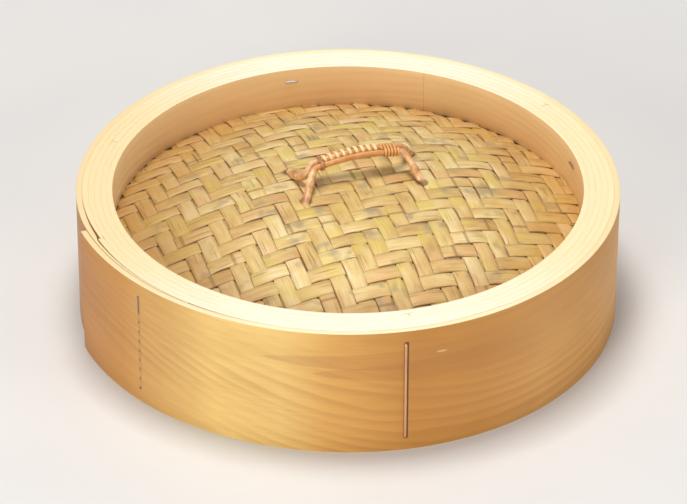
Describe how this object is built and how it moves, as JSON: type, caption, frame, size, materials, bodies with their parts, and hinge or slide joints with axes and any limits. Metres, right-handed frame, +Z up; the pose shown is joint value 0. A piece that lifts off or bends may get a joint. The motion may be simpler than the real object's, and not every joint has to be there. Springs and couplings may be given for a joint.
{
  "type": "steamer cover",
  "caption": "Round wooden steamer cover: a thick coiled hoop round a recessed woven bamboo dome, with a small bent cane handle and wire staples.",
  "frame": {"origin": "on the hoop's axis, at its flat bottom edge", "axes": "+Z up along the hoop's axis, away from the basket it covers; +X to the right and -Y towards the viewer, with the cane handle about 18 degrees anticlockwise of +X"},
  "size_m": [0.36, 0.36, 0.1066],
  "materials": {
    "outer_band": "satin",
    "hoop_plies": "matte",
    "inner_rings": "satin",
    "weave_splints": "satin",
    "cane": "satin",
    "cane_wrap": "satin",
    "leaf_lining": "matte",
    "steel_wire": "satin"
  },
  "bodies": {
    "root": {"outer_band": "outer_band", "coil_ply_1": "hoop_plies", "coil_ply_2": "hoop_plies", "coil_ply_3": "hoop_plies", "coil_ply_4": "hoop_plies", "inner_upper_ring": "inner_rings", "inner_lower_ring": "inner_rings", "outer_weave_wefts": "weave_splints", "outer_weave_warps": "weave_splints", "leaf_lining": "leaf_lining", "inner_weave_warps": "weave_splints", "inner_weave_wefts": "weave_splints", "handle_front_cane": "cane", "handle_back_cane": "cane", "grip_wrap": "cane_wrap", "left_grip_binding": "cane_wrap", "right_grip_binding": "cane_wrap", "wire_staples": "steel_wire"}
  },
  "joints": []
}
